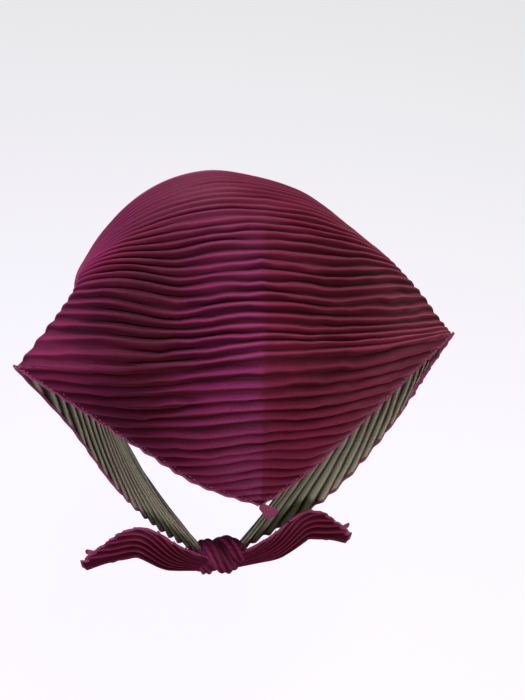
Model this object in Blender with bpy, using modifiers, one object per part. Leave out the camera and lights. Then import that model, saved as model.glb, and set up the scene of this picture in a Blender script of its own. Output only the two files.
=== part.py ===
"""A pleated kerchief as it is worn: over the crown, tied at the nape, its back flap and wings free.

Blender 4.5, metres, +Z up, -Y towards the wearer's face, +X to the wearer's left. The origin is
where the inside of the cloth rests on the top of the head. Run it as a script or from the text
editor; it makes one mesh object for each piece.
"""
import math

import bmesh
import bpy
import numpy as np

CM = 0.01
HEAD_TOP = 0.0865           # height of the crown above the middle of the head
MIDDLE_OF_HEAD = np.array([0.0, 0.0, -HEAD_TOP])
DOME = (0.088, 0.096, 0.089)  # half sizes of the crown that the cloth follows
DOME_FROM, DOME_TO = 17.0, 30.0   # pleats between which the cloth settles on to the crown
CLOTH_HALF = 0.417          # half of the long edge: a 59 cm square cut on the diagonal
PLEATS = 44                 # from the back tip to the front edge
FLAT_PLEAT = CLOTH_HALF / PLEATS   # cloth in one pleat, pulled flat
WALL = 0.0015               # along a fold's normal, which leaves about 1 mm square to the cloth
GATHER_WALL = 0.0034        # the bundled pleats where they enter the knot
DEEPEST_FOLD = 0.66         # of the pitch
GATHER_FROM, GATHER_TO = 0.0042, 0.0017   # pitches between which pleats turn into a bundle
HALF_COLUMNS = 13
CORNER = 15.0               # the pleat that ends on the wing corner
DENSE = 80                  # points a stretch is worked out at before it is evened
SOFTENING = 34              # passes that round the bend at the ridge
BEND_PULL = 0.7             # how strongly columns gather at a bend
FLAP_SWELL = 0.9            # cm that the flap stands out between crease and ridge
FLAP_WAY = (0.35, 0.9, 0.25)      # and which way it does
FLAP_PLEATS = (0.0, 10.0, 20.0, 28.0)   # the swell grows over the first two and ends at the last
BAND_WAY = (1.0, 0.35, 0.0)  # which way the bands bow between ridge and knot

# One row for each pleat that sets the form, counted from the back tip, in cm from the middle
# of the head: crease is on the centre fold, ridge where the row leaves the head or turns over
# the wing, end on the hem or at the knot, and bow how far the last stretch swells outwards.
SECTIONS = (
    # pleat  crease                ridge                 end                   bow
    (44.0, (-2.40, -5.60, 6.80), (8.30, -2.40, 1.00), (2.20, 5.60, -13.50), 1.7),
    (38.0, (-2.30, -2.60, 8.20), (8.80, -1.00, 2.70), (2.20, 5.80, -13.10), 1.7),
    (33.0, (-1.90, 0.20, 8.70), (8.90, 0.10, 4.10), (2.20, 6.00, -12.60), 1.5),
    (27.0, (-1.00, 3.60, 8.25), (8.80, 1.20, 5.00), (4.60, 5.00, -10.90), 0.9),
    (22.0, (-0.50, 6.30, 7.00), (9.10, 2.20, 4.70), (7.20, 4.40, -7.70), 0.6),
    (18.0, (-0.15, 8.10, 5.60), (10.60, 3.20, 3.20), (9.80, 4.30, -2.80), 0.3),
    (15.0, (0.05, 9.25, 4.50), (12.50, 4.30, 1.30), (12.50, 4.30, 1.30), 0.0),
    (12.0, (0.13, 10.00, 2.55), (10.00, 5.60, -0.10), (10.00, 5.60, -0.10), 0.0),
    (7.0, (-0.10, 10.05, -0.95), (5.80, 7.70, -2.60), (5.80, 7.70, -2.60), 0.0),
    (3.5, (-0.30, 9.85, -3.40), (3.00, 9.00, -4.20), (3.00, 9.00, -4.20), 0.0),
    (0.0, (-0.45, 9.60, -5.65), (-0.45, 9.60, -5.65), (-0.45, 9.60, -5.65), 0.0),
)
# The wearer's right is the mirror of the left apart from these rows.
RIGHT_ROWS = {
    # pleat: ridge, end
    44.0: ((-8.40, -2.40, 1.00), (-0.60, 5.60, -13.50)),
    38.0: ((-8.90, -1.00, 2.60), (-0.60, 5.80, -13.10)),
    33.0: ((-9.10, 0.10, 3.80), (-0.60, 6.00, -12.60)),
    27.0: ((-9.50, 1.00, 4.30), (-6.00, 5.10, -9.60)),
    22.0: ((-10.90, 2.20, 3.10), (-9.80, 4.30, -4.80)),
    18.0: ((-12.20, 3.40, 1.50), (-11.40, 4.10, -1.30)),
}
# Long soft dents that run down the flap and push the pleats up or down along the cloth: the side,
# cm from the crease to the dent's middle, its half width, its lift along the cloth, how far it stands
# out the way of DENT_WAY, and the pleats it lies between.
DENTS = (
    # side, from crease, half width, lift, standing out, first pleat, last pleat
    (1, 8.2, 2.4, 0.50, 0.0, 13.0, 31.0),
    (1, 4.6, 2.2, -0.38, 0.0, 13.0, 31.0),
    (1, 8.8, 2.1, 0.0, 0.95, 11.0, 37.0),
    (1, 4.6, 2.2, 0.0, -0.85, 5.0, 34.0),
    (-1, 4.4, 2.8, -0.34, 0.0, 15.0, 33.0),
    (-1, 4.6, 2.4, 0.0, -0.40, 8.0, 34.0),
)
DENT_WAY = (0.18, 0.80, 0.57)
# The little tab at the back tip: distance along it and half width, in cm.
TIP_TAB = ((0.15, 0.30), (0.45, 0.24), (0.85, 0.42), (1.15, 0.16))
TIP_TAB_WAY = (-0.55, -0.05, -0.83)
TIP_TAB_ACROSS = (0.80, 0.0, -0.60)

KNOT_CENTRE = (0.80, 5.95, -13.00)
KNOT_HALF = (0.985, 1.05, 1.20)
KNOT_TURNS = 2              # grooves of the two ends as they wrap each other
KNOT_TWIST = 2.4            # how far the grooves turn from one end of the lump to the other
KNOT_GROOVE = 0.10
KNOT_SQUARE = 0.25          # share of a rounded block in the lump's form
TIE_PLEATS = 10             # pleats long enough to come out of the knot
# Middle line of the tie end from the knot outwards, cm from the middle of the head, wearer's left.
TIE_LINE = ((2.02, 6.78, -13.72), (3.85, 7.00, -11.75), (5.80, 6.60, -10.60), (7.55, 6.10, -11.70),
            (9.20, 5.50, -13.25))
# Share of the tie end's length, and its width there in cm.
TIE_WIDTH = ((0.0, 1.3), (0.25, 1.9), (0.52, 2.15), (0.86, 0.95), (1.0, 0.5))
TIE_FACE = (0.15, 1.0, 0.12)   # which way its right side faces
TIE_COLUMNS = 9

COLOURS = {
    "kerchief": (0.13, 0.012, 0.045),
    "knot": (0.11, 0.010, 0.038),
    "tie_end_left": (0.12, 0.011, 0.042),
    "tie_end_right": (0.12, 0.011, 0.042),
}
ROUGHNESS = 0.55
SHARP_FOLD = 40.0           # degrees


def smoothstep(low, high, value):
    share = np.clip((value - low) / (high - low), 0.0, 1.0)
    return share * share * (3.0 - 2.0 * share)


def through(places, values, wanted):
    """A smooth curve through the values at these rising places, read at the wanted ones."""
    places = np.asarray(places, float)
    values = np.asarray(values, float)
    slope = np.gradient(values, places, axis=0)
    k = np.clip(np.searchsorted(places, wanted, side="right") - 1, 0, len(places) - 2)
    step = (places[k + 1] - places[k])[:, None]
    s = (wanted - places[k])[:, None] / step
    return (
        (2 * s**3 - 3 * s**2 + 1) * values[k]
        + (s**3 - 2 * s**2 + s) * step * slope[k]
        + (3 * s**2 - 2 * s**3) * values[k + 1]
        + (s**3 - s**2) * step * slope[k + 1]
    )


def evened(lines, count, pull=0.0):
    """Each line of points read again at count places, closer together where it bends."""
    step = np.linalg.norm(np.diff(lines, axis=1), axis=2)
    way = np.diff(lines, axis=1) / np.maximum(step, 1e-9)[..., None]
    bend = np.zeros_like(step)
    bend[:, 1:] = np.linalg.norm(np.diff(way, axis=1), axis=2)
    length = step.sum(axis=1)
    weight = step / length[:, None] + pull * bend / math.pi
    along = np.concatenate([np.zeros((len(lines), 1)), np.cumsum(weight, axis=1)], axis=1)
    out = np.empty((len(lines), count, 3))
    for i, line in enumerate(lines):
        at = np.linspace(0.0, along[i, -1], count)
        for axis in range(3):
            out[i, :, axis] = np.interp(at, along[i], line[:, axis])
    return out


def section_columns(side):
    """The table as arrays from the tip upwards, for one side, in metres."""
    rows = SECTIONS[::-1]
    pleats = np.array([row[0] for row in rows])
    crease = np.array([row[1] for row in rows])
    ridge = np.array([row[2] for row in rows])
    end = np.array([row[3] for row in rows])
    bow = np.array([[row[4]] for row in rows])
    if side < 0:
        ridge[1:] *= (-1, 1, 1)
        end[1:] *= (-1, 1, 1)
        for i, pleat in enumerate(pleats):
            if pleat in RIGHT_ROWS:
                ridge[i], end[i] = RIGHT_ROWS[pleat]
    return pleats, crease * CM, ridge * CM, end * CM, bow * CM


def over_the_dome(start, turn, share):
    """Rows on the crown: each one's direction from the middle turns evenly, crease to ridge."""
    a, b = start / DOME, turn / DOME
    far_a = np.linalg.norm(a, axis=2, keepdims=True)
    far_b = np.linalg.norm(b, axis=2, keepdims=True)
    cosine = ((a / far_a) * (b / far_b)).sum(axis=2, keepdims=True)
    angle = np.maximum(np.arccos(np.clip(cosine, -1.0, 1.0)), 1e-3)
    way = (np.sin((1 - share) * angle) * a / far_a + np.sin(share * angle) * b / far_b) / np.sin(angle)
    return way * (far_a + (far_b - far_a) * share**2) * DOME


def over_the_flap(start, turn, share, pleat, side):
    """Rows on the flap: straight from crease to ridge, with a slight swell."""
    grown_from, grown, ending_from, ended = FLAP_PLEATS
    amount = smoothstep(grown_from, grown, pleat) * (1 - smoothstep(ending_from, ended, pleat))
    out = np.array(FLAP_WAY) * (side, 1, 1)
    return start + (turn - start) * share + FLAP_SWELL * CM * amount * np.sin(math.pi * share) * out


def dented(lines, pleat, side):
    """The rows pushed along the cloth, and out or in, where a long soft dent crosses them."""
    step = np.linalg.norm(np.diff(lines, axis=1), axis=2)
    from_crease = np.concatenate([np.zeros((len(lines), 1)), np.cumsum(step, axis=1)], axis=1)
    up = np.gradient(lines, pleat, axis=0)
    up /= np.maximum(np.linalg.norm(up, axis=2, keepdims=True), 1e-9)
    push = np.zeros_like(lines)
    for dent_side, middle, half_width, lift, stand, first, last in DENTS:
        if dent_side == side:
            across = np.exp(-(((from_crease / CM - middle) / half_width) ** 2))
            down = np.sin(math.pi * np.clip((pleat - first) / (last - first), 0.0, 1.0)) ** 2
            bell = CM * across * down[:, None]
            push += (lift * up + stand * np.array(DENT_WAY)) * bell[..., None]
    return lines + push


def cloth_rows(side, pleat, columns):
    """One smooth line across the cloth for each pleat number, from the crease to the hem."""
    pleats, crease, ridge, end, bow = section_columns(side)
    corner = int(np.argmin(abs(pleats - CORNER)))

    def column(values):
        below = through(pleats[: corner + 1], values[: corner + 1], np.minimum(pleat, CORNER))
        above = through(pleats[corner:], values[corner:], np.maximum(pleat, CORNER))
        return np.where((pleat <= CORNER)[:, None], below, above)

    start = through(pleats, crease, pleat)[:, None]
    turn, stop, swell = column(ridge)[:, None], column(end)[:, None], column(bow)[:, None]
    share = np.linspace(0.0, 1.0, DENSE)[None, :, None]
    count = pleat[:, None, None]
    crown = over_the_dome(start, turn, share)
    flap = over_the_flap(start, turn, share, count, side)
    settled = smoothstep(DOME_FROM, DOME_TO, count)
    first = crown * settled + flap * (1 - settled)
    band_way = np.array(BAND_WAY) * (side, 1, 1)
    second = turn + (stop - turn) * share + swell * band_way * np.sin(math.pi * share)
    lines = evened(np.concatenate([first, second[:, 1:]], axis=1), 2 * DENSE)
    for _ in range(SOFTENING):
        lines[:, 1:-1] += (lines[:, :-2] - 2 * lines[:, 1:-1] + lines[:, 2:]) / 4
    return evened(dented(lines, pleat, side), columns, BEND_PULL) + MIDDLE_OF_HEAD


def outward_normals(grid, inside):
    """Unit normals of a smooth grid, away from the inside point."""
    across = np.gradient(grid, axis=1)
    along = np.gradient(grid, axis=0)
    normal = np.cross(across, along)
    normal /= np.maximum(np.linalg.norm(normal, axis=2, keepdims=True), 1e-12)
    middle = len(grid) // 2, grid.shape[1] // 2
    if (normal[middle] * (grid[middle] - inside)).sum() < 0:
        normal = -normal
    return normal


def folded(grid, pleat, inside):
    """The grid with every other row raised and sunk, and how bundled each point is, 0 to 1."""
    per_pleat = abs(np.gradient(pleat))[:, None]
    way = np.gradient(grid, axis=1)
    way /= np.maximum(np.linalg.norm(way, axis=2, keepdims=True), 1e-12)
    apart = np.gradient(grid, axis=0)
    apart -= way * (apart * way).sum(axis=2, keepdims=True)
    pitch = np.linalg.norm(apart, axis=2) / per_pleat
    bundled = 1 - smoothstep(GATHER_TO, GATHER_FROM, pitch)
    free = np.sqrt(np.clip(FLAT_PLEAT**2 - pitch**2, 0.0, None))
    depth = np.minimum(free, DEEPEST_FOLD * pitch) * (1 - bundled)
    raised = np.where(np.arange(len(grid)) % 2 == 0, -0.5, 0.5)[:, None]
    return grid + outward_normals(grid, inside) * (raised * depth)[..., None], bundled


def sheet_object(name, grid, bundled):
    """A grid of points made an open surface, and given its wall by Solidify."""
    rows, columns = grid.shape[:2]
    index = np.arange(rows * columns).reshape(rows, columns)
    quads = np.stack([index[:-1, :-1], index[:-1, 1:], index[1:, 1:], index[1:, :-1]], axis=-1)
    mesh = bpy.data.meshes.new(name)
    mesh.from_pydata(grid.reshape(-1, 3).tolist(), [], quads.reshape(-1, 4).tolist())
    mesh.validate()
    piece = bpy.data.objects.new(name, mesh)
    scarf.objects.link(piece)
    group = piece.vertex_groups.new(name="bundle")
    for i, weight in enumerate(bundled.reshape(-1)):
        group.add([i], float(weight), "REPLACE")
    shell = piece.modifiers.new("wall", "SOLIDIFY")
    shell.thickness = GATHER_WALL
    shell.offset = 0.0
    shell.vertex_group = "bundle"
    shell.thickness_vertex_group = WALL / GATHER_WALL
    finish(piece)


def finish(piece):
    """The piece's own cloth material, shaded smooth apart from its sharp folds."""
    cloth = bpy.data.materials.new(piece.name + "_cloth")
    cloth.use_nodes = True
    shader = cloth.node_tree.nodes["Principled BSDF"]
    shader.inputs["Base Color"].default_value = (*COLOURS[piece.name], 1.0)
    shader.inputs["Roughness"].default_value = ROUGHNESS
    shader.inputs["Metallic"].default_value = 0.0
    piece.data.materials.append(cloth)
    piece.data.shade_smooth()
    piece.data.set_sharp_from_angle(angle=math.radians(SHARP_FOLD))


def make_kerchief():
    """The cloth: two rows of points to each pleat, both halves, and the tab at the tip."""
    pleat = np.arange(0.5, PLEATS + 0.25, 0.5)
    left = cloth_rows(1, pleat, HALF_COLUMNS)
    right = cloth_rows(-1, pleat, HALF_COLUMNS)
    grid = np.concatenate([right[:, :0:-1], left], axis=1)
    grid, bundled = folded(grid, pleat, MIDDLE_OF_HEAD)
    tip = np.array(SECTIONS[-1][1]) * CM + MIDDLE_OF_HEAD
    across = np.linspace(-1.0, 1.0, grid.shape[1])[:, None]
    tab = [
        tip + np.array(TIP_TAB_WAY) * along * CM + np.array(TIP_TAB_ACROSS) * across * half * CM
        for along, half in TIP_TAB[::-1]
    ]
    grid = np.concatenate([tab, grid])
    bundled = np.concatenate([np.zeros((len(tab), grid.shape[1])), bundled])
    sheet_object("kerchief", grid, bundled)


def make_tie_end(name, side):
    """The corner past the knot: its pleats end one by one along the slanting hem."""
    count = np.arange(0.5, TIE_PLEATS + 0.25, 0.5)      # from the hem side to the long edge
    share = np.linspace(0.0, 1.0, TIE_COLUMNS)[None, :] * (count / TIE_PLEATS)[:, None]
    at = np.linspace(0.0, 1.0, len(TIE_LINE))

    def line(where):
        return through(at, TIE_LINE, np.clip(where, 0.0, 1.0).reshape(-1)).reshape(*where.shape, 3)

    way = line(share + 0.01) - line(share - 0.01)
    upward = np.cross(way, TIE_FACE)
    upward /= np.linalg.norm(upward, axis=2, keepdims=True)
    upward *= np.sign(upward[..., 2:])
    width_at, widths = np.array(TIE_WIDTH).T
    ended = share * TIE_PLEATS                           # pleats that have ended by here
    across = (TIE_PLEATS - count[:, None]) / np.maximum(TIE_PLEATS - ended, 0.25)
    up_by = np.interp(share, width_at, widths) * (np.clip(across, 0.0, 1.0) - 0.5)
    grid = (line(share) + upward * up_by[..., None]) * CM + MIDDLE_OF_HEAD
    knot = np.array(KNOT_CENTRE) * CM
    if side < 0:
        grid[..., 0] = 2 * knot[0] - grid[..., 0]
    grid, bundled = folded(grid, count, np.array([knot[0], 0.0, grid[0, 0, 2]]))
    sheet_object(name, grid, bundled)


def make_knot():
    """The half knot: a soft lump with the grooves of the two ends that wrap each other."""
    mesh = bpy.data.meshes.new("knot")
    lump = bmesh.new()
    bmesh.ops.create_uvsphere(lump, u_segments=24, v_segments=16, radius=1.0)
    for vert in lump.verts:
        x, y, z = vert.co
        around = math.atan2(z, y)
        groove = 1 + KNOT_GROOVE * math.cos(KNOT_TURNS * around + KNOT_TWIST * x) * (1 - x * x)
        block = 1 / (x**4 + y**4 + z**4) ** 0.25
        plump = groove * (1 - KNOT_SQUARE + KNOT_SQUARE * block)
        vert.co = (x * KNOT_HALF[0], y * plump * KNOT_HALF[1], z * plump * KNOT_HALF[2])
    bmesh.ops.scale(lump, vec=(CM, CM, CM), verts=lump.verts)
    lump.to_mesh(mesh)
    lump.free()
    piece = bpy.data.objects.new("knot", mesh)
    scarf.objects.link(piece)
    piece.location = np.array(KNOT_CENTRE) * CM + MIDDLE_OF_HEAD
    finish(piece)


for old in list(bpy.data.objects):
    bpy.data.objects.remove(old)
scarf = bpy.data.collections.new("pleated_head_scarf")
bpy.context.scene.collection.children.link(scarf)
make_kerchief()
make_knot()
make_tie_end("tie_end_left", 1)
make_tie_end("tie_end_right", -1)
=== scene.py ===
# A pleated triangular scarf, draped and knotted as it is worn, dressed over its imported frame.
# Metres, +Z up, +Y towards the back, +X towards the left as worn.
import math

import bpy
import numpy as np
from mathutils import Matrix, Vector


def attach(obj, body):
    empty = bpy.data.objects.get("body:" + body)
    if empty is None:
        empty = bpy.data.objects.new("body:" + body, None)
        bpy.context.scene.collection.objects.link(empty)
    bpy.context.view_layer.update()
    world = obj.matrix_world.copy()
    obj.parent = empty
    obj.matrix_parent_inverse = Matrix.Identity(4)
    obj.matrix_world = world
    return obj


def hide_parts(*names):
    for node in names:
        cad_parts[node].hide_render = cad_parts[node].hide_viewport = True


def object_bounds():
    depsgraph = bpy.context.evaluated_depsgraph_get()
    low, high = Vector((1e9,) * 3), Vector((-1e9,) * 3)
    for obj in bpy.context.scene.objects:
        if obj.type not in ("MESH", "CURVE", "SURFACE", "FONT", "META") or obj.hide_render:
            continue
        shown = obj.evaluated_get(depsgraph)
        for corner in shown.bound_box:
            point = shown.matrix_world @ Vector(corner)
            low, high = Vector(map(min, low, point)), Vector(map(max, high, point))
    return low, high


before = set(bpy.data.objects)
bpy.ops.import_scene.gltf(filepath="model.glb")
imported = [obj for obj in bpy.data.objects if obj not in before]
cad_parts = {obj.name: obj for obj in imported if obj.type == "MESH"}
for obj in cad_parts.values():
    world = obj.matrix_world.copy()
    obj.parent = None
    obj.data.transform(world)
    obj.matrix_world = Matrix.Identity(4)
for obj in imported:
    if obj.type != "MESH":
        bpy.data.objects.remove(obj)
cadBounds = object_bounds()
print("frame loaded, nodes:", ", ".join(sorted(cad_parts)))

cm = 0.01
domeTop = 8.65                  # cm from the middle of the dome up to the origin
domeMiddle = np.array((0.0, 0.0, -domeTop * cm))

# How the cloth lies, in cm from the middle of the dome; pleats are counted from the back tip
scarf = {
    "pleats": 44,
    "flatPleat": 0.948,         # cloth in one pleat, pulled flat
    "deepest": 0.34,            # crest to valley, cm
    "leastFold": 0.02,          # square cm, keeps a pleat that is pulled flat from vanishing
    "rowsPerPleat": 8,
    "firstRow": 0.125,          # pleats
    "columns": 68,              # on each side of the crease
    "dense": 90,                # points on each stretch of a row before it is evened
    "softening": 34,            # passes that round the bend at the ridge
    "bendPull": 0.7,            # how much closer the columns stand where a row bends
    "wall": 0.040,              # cm, along the folded cloth's normal
    "dome": (8.8, 9.6, 8.9),    # half sizes
    "domePleats": (17.0, 30.0),  # between which the rows go over from the flap to the dome
    "cornerPleat": 15.0,        # the one that ends in the wing's corner
    "flapSwell": 0.9,           # cm that the flap bulges, and which way
    "flapWay": (0.35, 0.9, 0.25),
    "flapPleats": (0.0, 10.0, 20.0, 28.0),  # grows between the first two, fades between the last
    "bandWay": (1.0, 0.35, 0.0),  # which way a row's last stretch bows
    "sections": (
        # pleat, crease, ridge, end, bow of the last stretch
        (44.0, (-2.40, -5.60, 6.80), (8.30, -2.40, 1.00), (1.85, 5.70, -13.40), 1.7),
        (38.0, (-2.30, -2.60, 8.20), (8.80, -1.00, 2.70), (1.85, 5.85, -13.05), 1.7),
        (33.0, (-1.90, 0.20, 8.70), (8.90, 0.10, 4.10), (1.90, 6.00, -12.60), 1.5),
        (27.0, (-1.00, 3.60, 8.25), (8.80, 1.20, 5.00), (4.60, 5.00, -10.90), 0.9),
        (22.0, (-0.50, 6.30, 7.00), (9.10, 2.20, 4.70), (7.20, 4.40, -7.70), 0.6),
        (18.0, (-0.15, 8.10, 5.60), (10.60, 3.20, 3.20), (9.80, 4.30, -2.80), 0.3),
        (15.0, (0.05, 9.25, 4.50), (12.50, 4.30, 1.30), (12.50, 4.30, 1.30), 0.0),
        (12.0, (0.13, 10.00, 2.55), (10.00, 5.60, -0.10), (10.00, 5.60, -0.10), 0.0),
        (7.0, (-0.10, 10.05, -0.95), (5.80, 7.70, -2.60), (5.80, 7.70, -2.60), 0.0),
        (3.5, (-0.30, 9.85, -3.40), (3.00, 9.00, -4.20), (3.00, 9.00, -4.20), 0.0),
        (0.0, (-0.45, 9.60, -5.65), (-0.45, 9.60, -5.65), (-0.45, 9.60, -5.65), 0.0),
    ),
    # the right side as worn mirrors the left apart from these rows: ridge, end
    "rightRows": {
        44.0: ((-8.40, -2.40, 1.00), (-0.25, 5.70, -13.40)),
        38.0: ((-8.90, -1.00, 2.60), (-0.25, 5.85, -13.05)),
        33.0: ((-9.10, 0.10, 3.80), (-0.30, 6.00, -12.60)),
        27.0: ((-9.50, 1.00, 4.30), (-6.00, 5.10, -9.60)),
        22.0: ((-10.90, 2.20, 3.10), (-9.80, 4.30, -4.80)),
        18.0: ((-12.20, 3.40, 1.50), (-11.40, 4.10, -1.30)),
    },
    # long soft dents down the flap: side, cm from the crease, half width, lift along the cloth,
    # how far it stands out, first and last pleat
    "dents": (
        (1, 8.2, 2.4, 0.50, 0.0, 13.0, 31.0),
        (1, 4.6, 2.2, -0.38, 0.0, 13.0, 31.0),
        (1, 8.8, 2.1, 0.0, 0.95, 11.0, 37.0),
        (1, 4.6, 2.2, 0.0, -0.85, 5.0, 34.0),
        (-1, 4.4, 2.8, -0.34, 0.0, 15.0, 33.0),
        (-1, 4.6, 2.4, 0.0, -0.40, 8.0, 34.0),
    ),
    "outWay": (0.18, 0.80, 0.57),  # which way they stand out
    "creaseRidge": 0.05,        # cm that the pressed centre crease stands up
    "creaseWidth": 0.7,
    "creaseStart": 3.0,         # pleats from the tip over which it rises
    "creaseLow": (0.85, 26.0, 38.0),  # share of it gone on the crown, from and to which pleats
    "creaseSoftening": 40,      # passes that round the form across the crease
    "creaseReach": 1.6,         # cm
}


def smoothStep(low, high, value):
    # 3 t squared minus 2 t cubed, where t runs from 0 at low to 1 at high
    t = np.clip((value - low) / (high - low), 0.0, 1.0)
    return t * t * (3.0 - 2.0 * t)


def unit(vectors):
    # each vector over its own length
    return vectors / np.maximum(np.linalg.norm(vectors, axis=-1, keepdims=True), 1e-9)


def through(places, values, wanted):
    # cubic Hermite curve through the values, with the slopes of their neighbours' chords
    places, values = np.asarray(places, float), np.asarray(values, float)
    slope = np.gradient(values, places, axis=0)
    k = np.clip(np.searchsorted(places, wanted, side="right") - 1, 0, len(places) - 2)
    step = (places[k + 1] - places[k])[:, None]
    s = (wanted - places[k])[:, None] / step
    return ((2 * s**3 - 3 * s**2 + 1) * values[k] + (s**3 - 2 * s**2 + s) * step * slope[k]
            + (3 * s**2 - 2 * s**3) * values[k + 1] + (s**3 - s**2) * step * slope[k + 1])


def evened(lines, count, pull=0.0):
    # each row read again at count places, evenly along its length plus pull times its bend:
    # all rows are laid end to end, two units apart, so that one interpolation serves them all
    steps = np.diff(lines, axis=1)
    length = np.linalg.norm(steps, axis=2)
    bend = np.zeros_like(length)
    bend[:, 1:] = np.linalg.norm(np.diff(unit(steps), axis=1), axis=2)
    weight = length / length.sum(axis=1, keepdims=True) + pull * bend / math.pi
    along = np.concatenate([np.zeros((len(lines), 1)), np.cumsum(weight, axis=1)], axis=1)
    along /= along[:, -1:]
    offset = 2.0 * np.arange(len(lines))[:, None]
    at = np.linspace(0.0, 1.0, count)[None, :] + offset
    out = [np.interp(at.ravel(), (along + offset).ravel(), lines[..., axis].ravel())
           for axis in range(3)]
    return np.stack(out, axis=-1).reshape(len(lines), count, 3)


def rounding(lines):
    # a quarter of the second difference along each row, for all but its two ends
    return (lines[:, :-2] - 2 * lines[:, 1:-1] + lines[:, 2:]) / 4


def runLength(rows):
    # how far each point lies from its row's first point, along the row
    length = np.linalg.norm(np.diff(rows, axis=1), axis=2)
    return np.concatenate([np.zeros((len(rows), 1)), np.cumsum(length, axis=1)], axis=1)


def softNoise(x, y, seed):
    # value noise from -1 to 1: random numbers on whole x and y, blended by smooth steps between
    table = np.random.default_rng(seed).uniform(-1.0, 1.0, (97, 89))
    wide, tall = table.shape
    ix, iy = np.floor(x).astype(int), np.floor(y).astype(int)
    fx, fy = smoothStep(0.0, 1.0, x - ix), smoothStep(0.0, 1.0, y - iy)
    a, b = table[ix % wide, iy % tall], table[(ix + 1) % wide, iy % tall]
    c, d = table[ix % wide, (iy + 1) % tall], table[(ix + 1) % wide, (iy + 1) % tall]
    return (a * (1 - fx) + b * fx) * (1 - fy) + (c * (1 - fx) + d * fx) * fy


def wander(noise, n, s, shift=0):
    # size times the soft noise of n times its pace per pleat and of s over its wave in cm, each
    # from its own start
    size, pace, wave, startN, startS, seed = noise
    return size * softNoise(n * pace + startN, s / wave + startS, seed + shift)


def normalsOf(grid):
    # unit cross product of the two grid directions
    return unit(np.cross(np.gradient(grid, axis=0), np.gradient(grid, axis=1)))


def sectionColumns(side):
    # the table's columns from the tip upwards; the right takes the left's rows with x turned
    # round where it has none of its own
    rows = scarf["sections"][::-1]
    pleats = np.array([row[0] for row in rows])
    crease, ridge, end = (np.array([row[i] for row in rows]) for i in (1, 2, 3))
    bow = np.array([[row[4]] for row in rows])
    if side < 0:
        ridge[1:] *= (-1, 1, 1)
        end[1:] *= (-1, 1, 1)
        for i, pleat in enumerate(pleats):
            if pleat in scarf["rightRows"]:
                ridge[i], end[i] = scarf["rightRows"][pleat]
    return pleats, crease, ridge, end, bow


def overTheDome(start, turn, share):
    # spherical interpolation of the direction from the middle, on a dome of three half sizes
    a, b = start / scarf["dome"], turn / scarf["dome"]
    farA, farB = (np.linalg.norm(v, axis=2, keepdims=True) for v in (a, b))
    cosine = ((a / farA) * (b / farB)).sum(axis=2, keepdims=True)
    angle = np.maximum(np.arccos(np.clip(cosine, -1.0, 1.0)), 1e-3)
    way = np.sin((1 - share) * angle) * a / farA + np.sin(share * angle) * b / farB
    return way / np.sin(angle) * (farA + (farB - farA) * share**2) * scarf["dome"]


def overTheFlap(start, turn, share, pleat, side):
    # a straight row from crease to ridge plus half a sine wave outwards
    grownFrom, grown, endingFrom, ended = scarf["flapPleats"]
    amount = smoothStep(grownFrom, grown, pleat) * (1 - smoothStep(endingFrom, ended, pleat))
    out = np.array(scarf["flapWay"]) * (side, 1, 1)
    swell = scarf["flapSwell"] * amount * np.sin(math.pi * share) * out
    return start + (turn - start) * share + swell


def dented(lines, pleat, side):
    # each dent is a bell across the flap times a squared sine down it, along the cloth and outwards
    fromCrease = runLength(lines)
    up = unit(np.gradient(lines, pleat, axis=0))
    lift, stand = np.zeros_like(fromCrease), np.zeros_like(fromCrease)
    for dentSide, middle, halfWidth, along, outward, first, last in scarf["dents"]:
        if dentSide == side:
            bell = np.exp(-(((fromCrease - middle) / halfWidth) ** 2))
            down = np.clip((pleat - first) / (last - first), 0.0, 1.0)
            bell *= np.sin(math.pi * down)[:, None] ** 2
            lift += along * bell
            stand += outward * bell
    return lines + up * lift[..., None] + stand[..., None] * scarf["outWay"]


def clothRows(side, pleat, columns):
    # crease to ridge over the dome or the flap, then a bowed chord to the hem or the knot
    pleats, crease, ridge, end, bow = sectionColumns(side)
    corner = int(np.argmin(abs(pleats - scarf["cornerPleat"])))
    cornerPleat = pleats[corner]

    def column(values):
        # one curve up to the corner and another past it, so that the corner stays sharp
        below = through(pleats[: corner + 1], values[: corner + 1], np.minimum(pleat, cornerPleat))
        above = through(pleats[corner:], values[corner:], np.maximum(pleat, cornerPleat))
        return np.where((pleat <= cornerPleat)[:, None], below, above)[:, None]

    start = through(pleats, crease, pleat)[:, None]
    turn, stop, swell = column(ridge), column(end), column(bow)
    share = np.linspace(0.0, 1.0, scarf["dense"])[None, :, None]
    count = pleat[:, None, None]
    settled = smoothStep(*scarf["domePleats"], count)
    first = overTheDome(start, turn, share) * settled
    first += overTheFlap(start, turn, share, count, side) * (1 - settled)
    bandWay = np.array(scarf["bandWay"]) * (side, 1, 1)
    second = turn + (stop - turn) * share + swell * bandWay * np.sin(math.pi * share)
    lines = evened(np.concatenate([first, second[:, 1:]], axis=1), 2 * scarf["dense"])
    for _ in range(scarf["softening"]):
        lines[:, 1:-1] += rounding(lines)
    lines = evened(dented(lines, pleat, side), columns, scarf["bendPull"])
    return lines, runLength(first)[:, -1:]


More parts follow.
